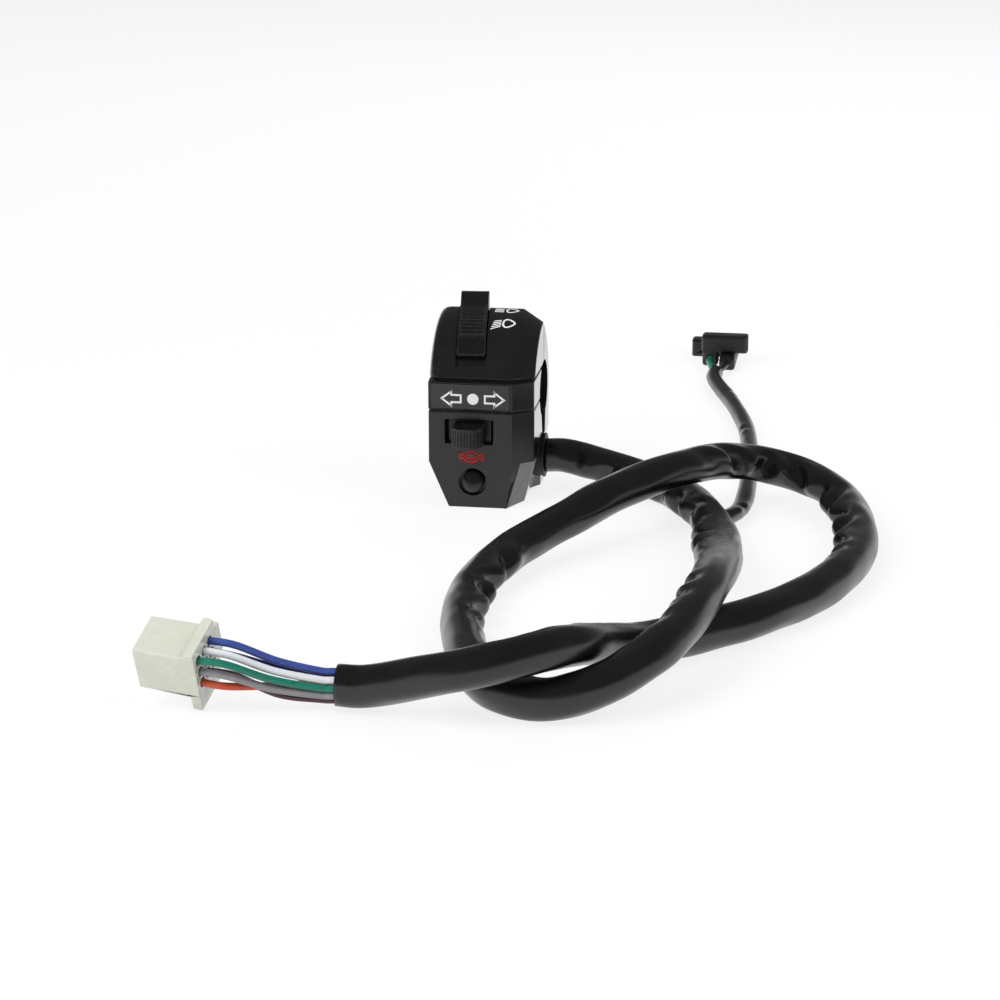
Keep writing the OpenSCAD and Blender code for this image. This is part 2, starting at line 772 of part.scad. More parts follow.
// Connector pieces are drawn along +X from the wire end and then laid down
module as_block() {
    translate(block_at)
        rotate(block_turn)
            children();
}

module connector_housing() {
    h = block_w / 2;
    color([0.87, 0.87, 0.8])
    as_block()
        difference() {
            union() {
                box(0, block_len, -h, h, -h, h);
                box(-flange_len, 0, -h - 1.5, h, -h, h + 1.5);
                box(-flange_len, 0, -h - 4.5, -h, -5.5, 5.5);
                box(-flange_len, 0, -h, h - 0.2, -h - 6, -h);
            }
            for (i = [-1 : 1], j = [-1 : 1]) {
                along_x(-flange_len - 1, 2, cell_r, pitch * i, pitch * j);
                box(5, block_len + 1, pitch * i - 1.6, pitch * i + 1.6, pitch * j - 1.6, pitch * j + 1.6);
            }
        }
}

module connector_terminals() {
    color([0.78, 0.62, 0.3])
    as_block()
        for (at = [[-1, 1], [0, 1], [-1, 0], [1, 1], [1, 0], [1, -1], [0, -1]])
            difference() {
                box(5, block_len - 1.5, pitch * at[0] - 1.4, pitch * at[0] + 1.4,
                    pitch * at[1] - 1.4, pitch * at[1] + 1.4);
                box(8, block_len + 1, pitch * at[0] - 0.9, pitch * at[0] + 0.9,
                    pitch * at[1] - 0.9, pitch * at[1] + 0.9);
            }
}

module lead_green() {
    color([0.06, 0.42, 0.3])
    tube(on_floor(green_lead_route), wire_d / 2, 8);
}

module lead_black() {
    color([0.05, 0.05, 0.05])
    tube(on_floor(black_lead_route), wire_d / 2, 8);
}

// Front boot stands on its own leg and lies across the leg of the rear boot
module boot_front() {
    color([0.07, 0.07, 0.07])
    difference() {
        union() {
            box(64.5, 85, 196, 204, floor_z + 6, floor_z + 14);
            box(65, 72, 196, 204, floor_z, floor_z + 6);
        }
        box(77, 86, 198.8, 201.2, floor_z + 7, floor_z + 13);
    }
}

module boot_rear() {
    color([0.07, 0.07, 0.07])
    difference() {
        union() {
            box(59, 80, 212, 220, floor_z, floor_z + 8);
            box(73, 80, 189, 212, floor_z, floor_z + 6);
        }
        box(58, 67, 214.8, 217.2, floor_z + 1, floor_z + 7);
    }
}

module flag_terminals() {
    color([0.78, 0.62, 0.3])
    for (at = [[77, 198.8, floor_z + 7], [59.5, 214.8, floor_z + 1]])
        difference() {
            translate(at)
                cube([7.5, 2.4, 6]);
            translate(at + [-1, 0.8, 0.6])
                cube([10, 0.8, 4.8]);
        }
}

front_housing();
rear_housing();
label_plate();
clamp_screws();
clamp_inserts();
cable_grommet();
inner_loom();
dimmer_lever();
dimmer_carrier();
dimmer_contact();
dimmer_base();
dimmer_terminals();
dimmer_spring();
dimmer_ball();
turn_knob();
turn_carrier();
turn_contact();
turn_base();
turn_terminals();
turn_spring();
turn_ball();
horn_button();
horn_contact();
horn_spring();
horn_base();
horn_terminals();
harness_sleeve();
side_lead();
wire_blue();
wire_white();
wire_navy();
wire_orange();
wire_green();
wire_grey();
wire_brown();
connector_housing();
connector_terminals();
lead_green();
lead_black();
boot_front();
boot_rear();
flag_terminals();
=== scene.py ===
import math

import bmesh
import bpy
import numpy as np
from mathutils import Matrix, Vector, noise


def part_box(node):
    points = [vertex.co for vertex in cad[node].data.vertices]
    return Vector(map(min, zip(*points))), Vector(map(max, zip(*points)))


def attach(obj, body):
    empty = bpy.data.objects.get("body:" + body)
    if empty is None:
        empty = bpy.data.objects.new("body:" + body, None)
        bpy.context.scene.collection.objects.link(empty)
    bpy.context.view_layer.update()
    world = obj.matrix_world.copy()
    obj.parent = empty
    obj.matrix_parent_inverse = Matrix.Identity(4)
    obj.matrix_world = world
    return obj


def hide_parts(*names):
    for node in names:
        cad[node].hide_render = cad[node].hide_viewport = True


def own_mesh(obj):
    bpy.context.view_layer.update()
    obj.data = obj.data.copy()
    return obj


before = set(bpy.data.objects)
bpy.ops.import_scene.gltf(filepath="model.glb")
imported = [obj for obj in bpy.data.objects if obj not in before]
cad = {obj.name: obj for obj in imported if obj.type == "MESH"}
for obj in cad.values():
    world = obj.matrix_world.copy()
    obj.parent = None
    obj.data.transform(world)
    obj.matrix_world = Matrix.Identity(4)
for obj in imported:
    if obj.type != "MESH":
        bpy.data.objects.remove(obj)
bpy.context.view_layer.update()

MM = 0.001

# Table and studio light. The part stands on a plain white table with white walls far round it, a
# dark ceiling above and large soft boxes. None of this belongs to the part.
table_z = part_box("front_housing")[0].z
table_half = 4.0
table_glow = 0.82
room_light = 0.34
ceiling = 0.12
wall_foot, wall_head = 0.03, 0.2
lamps_look_at = Vector((0.04, -0.05, -0.02))


def add_node(tree, kind, inputs=(), **settings):
    """One node of a tree; its inputs are values, or sockets that are linked to it."""
    node = tree.nodes.new(kind)
    for label, value in settings.items():
        setattr(node, label, value)
    for key, value in dict(inputs).items():
        if isinstance(value, bpy.types.NodeSocket):
            tree.links.new(value, node.inputs[key])
        else:
            node.inputs[key].default_value = value
    return node


def seen_directly(tree):
    """1 where the eye, a reflection or glass looks at the white surroundings, otherwise 0."""
    rays = add_node(tree, "ShaderNodeLightPath")
    pair = add_node(tree, "ShaderNodeMath", {0: rays.outputs["Is Camera Ray"],
        1: rays.outputs["Is Glossy Ray"]}, operation="MAXIMUM")
    return add_node(tree, "ShaderNodeMath", {0: pair.outputs[0],
        1: rays.outputs["Is Transmission Ray"]}, operation="MAXIMUM").outputs[0]


table_mesh = bpy.data.meshes.new("table")
table_mesh.from_pydata([(x * table_half, y * table_half, table_z) for x, y in
    ((-1, -1), (1, -1), (1, 1), (-1, 1))], [], [(0, 1, 2, 3)])
table = bpy.data.objects.new("table", table_mesh)
bpy.context.scene.collection.objects.link(table)
table_white = bpy.data.materials.new("table_white")
table_white.use_nodes = True
tree = table_white.node_tree
tree.nodes.clear()
share = add_node(tree, "ShaderNodeMath", {0: seen_directly(tree), 1: table_glow}, operation="MULTIPLY")
matt = add_node(tree, "ShaderNodeBsdfDiffuse", {"Color": (0.88, 0.88, 0.88, 1)})
glow = add_node(tree, "ShaderNodeEmission", {"Color": (1, 1, 1, 1), "Strength": 1.0})
mixed = add_node(tree, "ShaderNodeMixShader", {0: share.outputs[0], 1: matt.outputs[0], 2: glow.outputs[0]})
add_node(tree, "ShaderNodeOutputMaterial", {"Surface": mixed.outputs[0]})
table_mesh.materials.append(table_white)

room = bpy.data.worlds.new("room")
room.use_nodes = True
bpy.context.scene.world = room
tree = room.node_tree
tree.nodes.clear()
direction = add_node(tree, "ShaderNodeTexCoord").outputs["Generated"]
height = add_node(tree, "ShaderNodeSeparateXYZ", {0: direction}).outputs["Z"]
wall = add_node(tree, "ShaderNodeMapRange",
    {"Value": height, "From Min": wall_foot, "From Max": wall_head, "To Min": 1.0, "To Max": ceiling})
strength = add_node(tree, "ShaderNodeMapRange",
    {"Value": seen_directly(tree), "To Min": room_light, "To Max": wall.outputs[0]})
sky = add_node(tree, "ShaderNodeBackground", {"Color": (1, 1, 1, 1), "Strength": strength.outputs[0]})
add_node(tree, "ShaderNodeOutputWorld", {"Surface": sky.outputs[0]})

for name, place, size, watts in (("soft_box_left", (-0.62, -0.85, 0.95), 0.9, 15.0),
        ("soft_box_right", (0.95, -0.35, 0.75), 0.7, 5.0), ("soft_box_back", (0.15, 0.95, 0.8), 0.8, 6.0)):
    lamp = bpy.data.lights.new(name, "AREA")
    lamp.energy, lamp.size = watts, size
    soft_box = bpy.data.objects.new(name, lamp)
    soft_box.location = place
    soft_box.rotation_euler = (lamps_look_at - Vector(place)).to_track_quat("-Z", "Y").to_euler()
    soft_box.visible_glossy = False
    bpy.context.scene.collection.objects.link(soft_box)
bpy.context.scene.view_settings.view_transform = "Standard"

# Camera, at the photograph's angle: a little to the right of the switch face and above it, far
# enough away that the housing's edges hardly run together.
turn, drop = math.radians(8.5), math.radians(17)
eye = (0.16785, -1.10255, 0.29519)
sensor, focal_share = 36, 3.0015
ahead = Vector((-math.sin(turn) * math.cos(drop), math.cos(turn) * math.cos(drop), -math.sin(drop)))
across = Vector((math.cos(turn), math.sin(turn), 0))
upward = across.cross(ahead)
lens = bpy.data.cameras.new("camera")
lens.sensor_width, lens.lens = sensor, sensor * focal_share
camera = bpy.data.objects.new("camera", lens)
camera.matrix_world = Matrix.Translation(eye) @ Matrix((across, upward, -ahead)).transposed().to_4x4()
bpy.context.scene.collection.objects.link(camera)
bpy.context.scene.camera = camera

# Clamp housing: two halves moulded in black glass-filled nylon, front and rear, parted at the
# bar. The faces have a fine grain, the sides are polished, and the edges are eased and rubbed.


def float_sockets(tree, inputs, outputs):
    """Named number sockets of a node group, and its two end nodes."""
    number = "NodeSocketFloat"
    for label, value in inputs:
        tree.interface.new_socket(label, in_out="INPUT", socket_type=number).default_value = value
    for label in outputs:
        tree.interface.new_socket(label, in_out="OUTPUT", socket_type=number)
    return tree.nodes.new("NodeGroupInput"), tree.nodes.new("NodeGroupOutput")


edge_from, edge_full = 0.995, 0.86
side_from, side_full, side_share = 0.7, 0.84, 0.75
moulded_skin = bpy.data.node_groups.new("moulded_skin", "ShaderNodeTree")
given, put_out = float_sockets(moulded_skin,
    (("Cloud size", 9.0), ("Grain size", 0.25), ("Edge reach", 0.45)),
    ("Clouds", "Grain", "Edge", "Side"))
place = add_node(moulded_skin, "ShaderNodeTexCoord").outputs["Object"]
for label, size, detail in (("Clouds", "Cloud size", 4.0), ("Grain", "Grain size", 2.0)):
    per_metre = add_node(moulded_skin, "ShaderNodeMath",
        {0: 1 / MM, 1: given.outputs[size]}, operation="DIVIDE")
    spots = add_node(moulded_skin, "ShaderNodeTexNoise",
        {"Vector": place, "Scale": per_metre.outputs[0], "Detail": detail})
    moulded_skin.links.new(spots.outputs[0], put_out.inputs[label])
reach = add_node(moulded_skin, "ShaderNodeMath",
    {0: given.outputs["Edge reach"], 1: MM}, operation="MULTIPLY")
rounded = add_node(moulded_skin, "ShaderNodeBevel", {"Radius": reach.outputs[0]}, samples=4)
face = add_node(moulded_skin, "ShaderNodeNewGeometry")
agree = add_node(moulded_skin, "ShaderNodeVectorMath",
    {0: rounded.outputs[0], 1: face.outputs["Normal"]}, operation="DOT_PRODUCT")
edge = add_node(moulded_skin, "ShaderNodeMapRange",
    {"Value": agree.outputs["Value"], "From Min": edge_from, "From Max": edge_full})
moulded_skin.links.new(edge.outputs[0], put_out.inputs["Edge"])
apart = add_node(moulded_skin, "ShaderNodeSeparateXYZ", {0: face.outputs["Normal"]})
beside = add_node(moulded_skin, "ShaderNodeMath", {0: apart.outputs["X"]}, operation="ABSOLUTE")
polish = add_node(moulded_skin, "ShaderNodeMapRange",
    {"Value": beside.outputs[0], "From Min": side_from, "From Max": side_full, "To Max": side_share})
moulded_skin.links.new(polish.outputs[0], put_out.inputs["Side"])


def rgba(colour):
    """A colour as the shader's sockets want it, with full cover."""
    return (*colour, 1.0)


def moulded(name, dark, light, edge_colour, rough, clouds=9.0, grain=0.25, depth=0.02, edge=0.45, **sockets):
    """Moulded plastic or rubber: clouded tone, fine grain, and edges mixed to another tone, which is wear
    on some finishes and a painted highlight on others.
    """
    cloud_low, cloud_high, grain_strength = 0.3, 0.7, 0.6
    material = bpy.data.materials.new(name)
    material.use_nodes = True
    tree = material.node_tree
    skin = add_node(tree, "ShaderNodeGroup", node_tree=moulded_skin)
    for label, value in (("Cloud size", clouds), ("Grain size", grain), ("Edge reach", edge)):
        skin.inputs[label].default_value = value
    tone = add_node(tree, "ShaderNodeMix",
        {0: skin.outputs["Clouds"], 6: rgba(dark), 7: rgba(light)}, data_type="RGBA")
    # Edges are mixed to the edge colour: real wear on some finishes, a painted highlight on the controls
    # and the milky nylon.
    edge_tint = add_node(tree, "ShaderNodeMix",
        {0: skin.outputs["Edge"], 6: tone.outputs[2], 7: rgba(edge_colour)}, data_type="RGBA")
    gloss = add_node(tree, "ShaderNodeMapRange", {"Value": skin.outputs["Clouds"],
        "From Min": cloud_low, "From Max": cloud_high, "To Min": rough[0], "To Max": rough[1]})
    bump = add_node(tree, "ShaderNodeBump",
        {"Height": skin.outputs["Grain"], "Distance": depth * MM, "Strength": grain_strength})
    shader = tree.nodes["Principled BSDF"]
    tree.links.new(edge_tint.outputs[2], shader.inputs["Base Color"])
    tree.links.new(gloss.outputs[0], shader.inputs["Roughness"])
    tree.links.new(bump.outputs[0], shader.inputs["Normal"])
    for label, value in sockets.items():
        shader.inputs[label.replace("_", " ")].default_value = value
    return material


def dress(material, *names):
    """Gives CAD nodes a finish on their own material slots."""
    for name in names:
        for slot in cad[name].material_slots:
            slot.material = material


def eased(name, body, material, width, segments, shortest):
    """Copy of a CAD node with its sharp edges over a shortest length rounded off, shown in its place."""
    merge_within, flat_angle, sharp_angle = 2e-6, math.radians(1), math.radians(24)
    shape = bmesh.new()
    shape.from_mesh(cad[name].data)
    shape.transform(cad[name].matrix_world)
    bmesh.ops.remove_doubles(shape, verts=shape.verts, dist=merge_within)
    bmesh.ops.dissolve_limit(shape, angle_limit=flat_angle, verts=shape.verts, edges=shape.edges)
    weight = shape.edges.layers.float.new("bevel_weight_edge")
    for edge in shape.edges:
        sharp = len(edge.link_faces) == 2 and edge.calc_face_angle() > sharp_angle
        rounded = sharp and edge.calc_length() > shortest * MM
        edge[weight] = 1.0 if rounded else 0.0
        edge.smooth = rounded or not sharp
    mesh = bpy.data.meshes.new(name + "_eased")
    shape.to_mesh(mesh)
    shape.free()
    mesh.polygons.foreach_set("use_smooth", [True] * len(mesh.polygons))
    piece = bpy.data.objects.new(name + "_eased", mesh)
    bpy.context.scene.collection.objects.link(piece)
    ease = piece.modifiers.new("ease", "BEVEL")
    ease.limit_method, ease.width, ease.segments = "WEIGHT", width * MM, segments
    ease.use_clamp_overlap = False
    even = piece.modifiers.new("even", "WEIGHTED_NORMAL")
    even.keep_sharp = True
    ready = piece.evaluated_get(bpy.context.evaluated_depsgraph_get())
    piece.data = bpy.data.meshes.new_from_object(ready)
    piece.modifiers.clear()
    piece.data.materials.clear()
    piece.data.materials.append(material)
    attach(piece, body)
    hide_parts(name)
    return piece


side_gloss = 0.08
housing_plastic = moulded("housing_plastic", (0.006, 0.0063, 0.0066), (0.011, 0.0113, 0.0116),
    (0.03, 0.03, 0.031), (0.24, 0.32), grain=0.35, depth=0.012)
tree = housing_plastic.node_tree
shader = tree.nodes["Principled BSDF"]
skin = next(node for node in tree.nodes if node.type == "GROUP")
gloss = shader.inputs["Roughness"].links[0].from_node
polished = add_node(tree, "ShaderNodeMapRange",
    {"Value": skin.outputs["Side"], "To Min": gloss.outputs[0], "To Max": side_gloss})
tree.links.new(polished.outputs[0], shader.inputs["Roughness"])
tree.links.new(skin.outputs["Side"], shader.inputs["Coat Weight"])
shader.inputs["Coat Roughness"].default_value = side_gloss
for name in ("front_housing", "rear_housing"):
    eased(name, "housing", housing_plastic, width=0.45, segments=2, shortest=1.0)

# Label plate: a thin dark grey plastic sheet, glued into a shallow recess of the band under the
# lever.
label_sheet = moulded("label_sheet", (0.020, 0.021, 0.021), (0.028, 0.029, 0.029),
    (0.06, 0.06, 0.06), (0.34, 0.44), grain=0.16)
dress(label_sheet, "label_plate")

# Signs: thin printed ink. White turn arrows and a dot on the label, white beam signs on the round
# top beside the lever, and a red horn sign between the slider and the button.
label_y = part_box("label_plate")[0].y / MM
face_y, top_r = -31.0, 31.0
ink_low, ink_top, ink_step = -0.03, 0.06, 0.7


def on_label(u, v, h):
    """Place on the label: u along the bar, v upwards, h out of the surface, all in millimetres."""
    return (u * MM, (label_y - h) * MM, v * MM)


def on_face(u, v, h):
    """Place on the flat front face, in the same way."""
    return (u * MM, (face_y - h) * MM, v * MM)


def on_round(u, v, h):
    """Place on the round top: u along the bar, v the way round it from the height of the bar."""
    r, a = top_r + h, v / top_r
    return (u * MM, -r * math.cos(a) * MM, r * math.sin(a) * MM)


def bar(u0, v0, u1, v1, width):
    """Outline of a straight stroke between two points."""
    along = np.array((u1 - u0, v1 - v0), float)
    half = np.array((-along[1], along[0])) / np.linalg.norm(along) * width / 2
    a, b = np.array((u0, v0)), np.array((u1, v1))
    return [a - half, b - half, b + half, a + half]


def printed(name, ink, place, shapes):
    """Ink on a surface: closed outlines, each filled or drawn inwards as a line of some width."""
    points, faces = [], []
    for outline, width in shapes:
        p = np.array(outline, float)
        ends = np.roll(p, -1, 0)
        steps = [max(1, math.ceil(np.linalg.norm(q - o) / ink_step)) for o, q in zip(p, ends)]
        p = np.vstack([o + (q - o) * np.arange(n)[:, None] / n for o, q, n in zip(p, ends, steps)])
        if np.sum(p[:, 0] * np.roll(p[:, 1], -1) - p[:, 1] * np.roll(p[:, 0], -1)) < 0:
            p = p[::-1]
        n, first = len(p), len(points)
        rings = [p]
        if width:
            way = np.roll(p, -1, 0) - p
            way /= np.linalg.norm(way, axis=1)[:, None]
            inward = np.stack([-way[:, 1], way[:, 0]], axis=1)
            before = np.roll(inward, 1, 0)
            rings.append(p + width * (inward + before) / (1 + np.sum(inward * before, axis=1))[:, None])
        for ring in rings:
            points.extend(place(u, v, ink_low) for u, v in ring)
            points.extend(place(u, v, ink_top) for u, v in ring)
        turn = [(k, (k + 1) % n) for k in range(n)]
        low, top, in_low, in_top = first, first + n, first + 2 * n, first + 3 * n
        faces.extend((low + a, low + b, top + b, top + a) for a, b in turn)
        if width:
            faces.extend((top + a, top + b, in_top + b, in_top + a) for a, b in turn)
            faces.extend((in_top + a, in_top + b, in_low + b, in_low + a) for a, b in turn)
            faces.extend((in_low + a, in_low + b, low + b, low + a) for a, b in turn)
        else:
            faces.append(tuple(top + k for k in range(n)))
            faces.append(tuple(low + k for k in reversed(range(n))))
    mesh = bpy.data.meshes.new(name)
    mesh.from_pydata(points, [], faces)
    mesh.materials.append(ink)
    piece = bpy.data.objects.new(name, mesh)
    bpy.context.scene.collection.objects.link(piece)
    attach(piece, "housing")


ink_white = moulded("ink_white", (0.70, 0.71, 0.70), (0.80, 0.80, 0.79), (0.7, 0.7, 0.69),
    (0.45, 0.6), edge=0.05)
ink_red = moulded("ink_red", (0.48, 0.010, 0.010), (0.62, 0.016, 0.015), (0.5, 0.012, 0.012),
    (0.5, 0.65), edge=0.05, Specular_IOR_Level=0.25)
sign_z, arrow_long, arrow_half, shaft_half, head, arrow_line = 3.05, 8.2, 3.45, 1.75, 4.6, 0.72
left_tip, right_tip = -14.9, 9.9
dot_x, dot_r = -2.5, 2.15


def arrow(tip, way):
    """Outline of a turn arrow from its tip; way is 1 if it points left and -1 if right."""
    neck, tail = tip + way * head, tip + way * arrow_long
    upper = [(neck, sign_z + arrow_half), (neck, sign_z + shaft_half), (tail, sign_z + shaft_half)]
    lower = [(tail, sign_z - shaft_half), (neck, sign_z - shaft_half), (neck, sign_z - arrow_half)]
    return [(tip, sign_z), *upper, *lower]


arrows = [(arrow(left_tip, 1), arrow_line), (arrow(right_tip, -1), arrow_line)]
dot = [(dot_x + dot_r * math.cos(a), sign_z + dot_r * math.sin(a))
    for a in np.linspace(0, 2 * math.pi, 36, endpoint=False)]
printed("turn_signs", ink_white, on_label, [*arrows, (dot, None)])

lamp_point, ray_width = 0.42, 0.5


def lamp_sign(u, v, half_u, half_v):
    """Outline of a headlamp, blunt on the left and pointed on the right."""
    return [(u + half_u * math.cos(a), v + half_v * math.sin(a) * (1 - lamp_point * math.cos(a)))
        for a in np.linspace(0, 2 * math.pi, 28, endpoint=False)]


low_rays = [(bar(5.5, 37.0 - 0.9 * k, 2.7 - 0.22 * k, 36.3 - 1.15 * k, ray_width), None) for k in range(5)]
high_rays = [(bar(5.3, 46.6 - 1.0 * k, 1.8, 46.6 - 1.0 * k, ray_width), None) for k in range(4)]
printed("beam_signs", ink_white, on_round, [(lamp_sign(8.5, 35.2, 2.6, 2.5), 0.7), *low_rays,
    (lamp_sign(8.6, 45.1, 2.5, 2.1), 0.6), *high_rays])

horn_u, horn_v, horn_line = -3.2, -19.5, 0.5
trumpet = [(-4.6, 2.4), (-3.7, 1.1), (-2.2, 0.75), (3.0, 0.75), (4.6, 1.7), (4.6, -1.7), (3.0, -0.75),
    (-2.2, -0.75), (-3.7, -1.1), (-4.6, -2.4)]
coil = [(-1.9, 2.2), (1.3, 2.2), (2.1, 1.4), (2.1, -1.4), (1.3, -2.2), (-1.9, -2.2), (-2.7, -1.4),
    (-2.7, 1.4)]
printed("horn_sign", ink_red, on_face,
    [([(horn_u + u, horn_v + v) for u, v in outline], horn_line) for outline in (trumpet, coil)])

# Controls: beam lever, turn slider knob and horn button, moulded in black plastic with ribs for the
# thumb. Their edges and ribs are painted paler, partly wear and partly a painted highlight of the light
# they catch. The slider's carrier is of the same plastic.
control_plastic = moulded("control_plastic", (0.006, 0.006, 0.0063), (0.010, 0.010, 0.0105),
    (0.085, 0.085, 0.086), (0.24, 0.34), grain=0.3, depth=0.01, edge=0.28, Specular_IOR_Level=0.36)
dress(control_plastic, "turn_knob", "horn_button", "turn_carrier")
eased("dimmer_lever", "dimmer", control_plastic, width=0.3, segments=2, shortest=1.6)

# Clamp screws and their inserts: zinc plated steel screws from behind, in brass inserts pressed into
# bosses of the front half. Contacts and terminals are of sheet brass, springs and balls of steel.


def metal(name, dark, light, rough, streak):
    """Plated or drawn metal with a clouded tone, a fine grain and brighter edges."""
    brighter = 1.15
    edge_tint = tuple(min(1.0, brighter * c) for c in light)
    return moulded(name, dark, light, edge_tint, rough, clouds=streak, grain=0.12, depth=0.006, Metallic=1.0)


zinc_steel = metal("zinc_steel", (0.46, 0.46, 0.44), (0.66, 0.65, 0.62), (0.28, 0.42), 3.0)
brass = metal("brass", (0.55, 0.38, 0.14), (0.74, 0.55, 0.24), (0.25, 0.4), 2.5)
spring_steel = metal("spring_steel", (0.4, 0.4, 0.4), (0.6, 0.6, 0.6), (0.22, 0.36), 1.5)
dress(zinc_steel, "clamp_screws")
dress(brass, "clamp_inserts", "dimmer_contact", "dimmer_terminals", "turn_contact", "turn_terminals",
    "horn_contact", "horn_terminals", "connector_terminals", "flag_terminals")
dress(spring_steel, "dimmer_spring", "dimmer_ball", "turn_spring", "turn_ball")

# Horn return spring: a coil of spring steel between the contact board and the button, pressed
# shorter as the button goes in. Its inner end stays on the board.
no_edge_so_long = 1000
horn_coil = eased("horn_spring", "housing", spring_steel, width=0.05, segments=1, shortest=no_edge_so_long)
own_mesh(horn_coil)

# Switch works inside the housing: a natural nylon carrier under the lever, and punched boards of
# dark brown phenolic paper that hold the terminals.
inner_nylon = moulded("inner_nylon", (0.58, 0.56, 0.48), (0.7, 0.68, 0.6), (0.75, 0.73, 0.66), (0.4, 0.55))
phenolic = moulded("phenolic", (0.035, 0.018, 0.010), (0.06, 0.032, 0.018), (0.09, 0.05, 0.03),
    (0.4, 0.55), clouds=2.0)
dress(inner_nylon, "dimmer_carrier")
dress(phenolic, "dimmer_base", "turn_base", "horn_base")

# Grommet: a moulded collar of soft black rubber, clamped between the halves, that closes the outlet
# round the sleeve.
black_rubber = moulded("black_rubber", (0.007, 0.007, 0.007), (0.012, 0.012, 0.012), (0.02, 0.02, 0.02),
    (0.45, 0.6))
dress(black_rubber, "cable_grommet")

# Main sleeve: a limp tube of glossy black vinyl round the bundle of wires. It lies in a loose
# knot on the table, is squeezed flat in places and buckles on the inner side of its bends.
sleeve_d, sleeve_step, sleeve_sides = 14.0, 1.25, 44
sleeve_bore, sleeve_bore_length = sleeve_d / 2 - 1.1, 12
sleeve_lumps, sleeve_seed = 0.4, 3.0
sleeve_route = [
    (21, 0, -26.5), (29, 0, -26.5), (42, -1.5, -29), (56, -6, -32), (71, -18, -32.5),
    (84, -42, -32.5), (92, -73, -30), (96, -108, -26), (99, -145, -20),
    (98, -176, -17.5), (94, -204, -19), (85, -229, -22.5), (70, -244, -28.5),
    (54, -248, -32), (38, -241, -32.5), (28, -224, -32), (20, -196, -32.5),
    (16, -171, -32.5), (16, -138, -32.5), (24, -107, -30.5), (40, -84, -25.5),
    (58, -62, -20), (78, -40, -17.5), (92, -17, -21), (108, -8, -25),
    (125, -12, -29), (136, -26, -32.5), (142, -56, -32.5), (143, -90, -32.5),
    (135, -122, -32.5), (119, -152, -32.5), (98, -176, -32.5), (80, -196, -30.5),
    (69, -218, -24), (60, -241, -17), (46, -254, -17), (28, -256, -21.5),
    (10, -250, -28), (-2, -247, -31.5), (-11, -247, -31.5)]
# Buckles: place along the sleeve, side (degrees from the top towards the inside of the bends),
# depth, half length, spread in degrees, slant.
sleeve_buckles = [
    (12, 80, 0.8, 3.2, 50, 0.2), (27, 95, 1.7, 4.2, 50, -0.6), (42, 84, 1.9, 4.0, 48, 0.6),
    (60, 80, 2.2, 4.4, 48, -0.6), (78, 92, 2.5, 4.2, 48, 0.6), (96, 80, 1.6, 4.6, 46, -0.4),
    (121, 85, 1.5, 4.6, 48, 0.5), (140, 88, 1.9, 4.2, 46, -0.5), (160, 82, 1.4, 4.4, 46, 0.4),
    (182, 80, 0.8, 5.0, 45, -0.3), (228, 75, 1.6, 3.4, 46, 0.25), (239, 80, 1.9, 3.0, 48, -0.2),
    (262, 75, 1.1, 4.0, 50, 0.3), (302, 76, 1.5, 4.4, 46, -0.5), (318, 70, 2.5, 4.2, 46, 0.7),
    (334, 82, 2.1, 4.4, 46, -0.6), (351, 72, 1.5, 4.6, 46, 0.5),
    (386, 78, 1.3, 4.6, 46, -0.5), (402, 70, 2.3, 4.4, 48, 0.7), (419, 84, 2.7, 4.2, 48, -0.6),
    (435, 70, 2.6, 4.4, 48, 0.8), (452, 82, 1.9, 4.4, 46, -0.5), (470, 74, 1.1, 4.6, 45, 0.4),
    (567, 72, 1.3, 4.6, 50, 0.6), (584, 68, 2.6, 4.4, 46, 0.8),
    (601, 84, 2.7, 4.2, 50, -0.6), (618, 64, 3.0, 4.6, 46, 0.9), (635, 84, 2.8, 4.2, 50, -0.6),
    (651, 66, 3.2, 4.4, 48, 0.9), (668, 84, 2.8, 4.4, 50, -0.6), (685, 68, 2.9, 4.2, 46, 0.8),
    (702, 82, 1.8, 4.0, 46, -0.5), (722, 72, 1.6, 3.4, 46, 0.6),
    (884, 70, 0.9, 4.0, 50, 0.3), (905, 75, 0.8, 4.0, 45, -0.2)]
# Stretches pressed flatter: place, half length, share of the diameter added across.
sleeve_flats = [(150, 46, 0.17), (10, 22, 0.06), (640, 55, 0.05), (860, 40, 0.05)]


def smooth_line(route, step):
    """Points on a smooth curve through a route in millimetres, step apart, and their distances."""
    p = np.array(route, float) * MM
    q = np.vstack([2 * p[0] - p[1], p, 2 * p[-1] - p[-2]])
    points_per_span = 24
    t = np.linspace(0, 1, points_per_span, endpoint=False)[:, None]
    spans = [0.5 * (2 * b + (c - a) * t + (2 * a - 5 * b + 4 * c - d) * t ** 2
        + (3 * b - a - 3 * c + d) * t ** 3) for a, b, c, d in zip(q, q[1:], q[2:], q[3:])]
    line = np.vstack([*spans, p[-1:]])
    along = np.r_[0, np.cumsum(np.linalg.norm(np.diff(line, axis=0), axis=1))]
    at = np.linspace(0, along[-1], int(round(along[-1] / (step * MM))) + 1)
    return np.stack([np.interp(at, along, line[:, k]) for k in range(3)], axis=1), at / MM


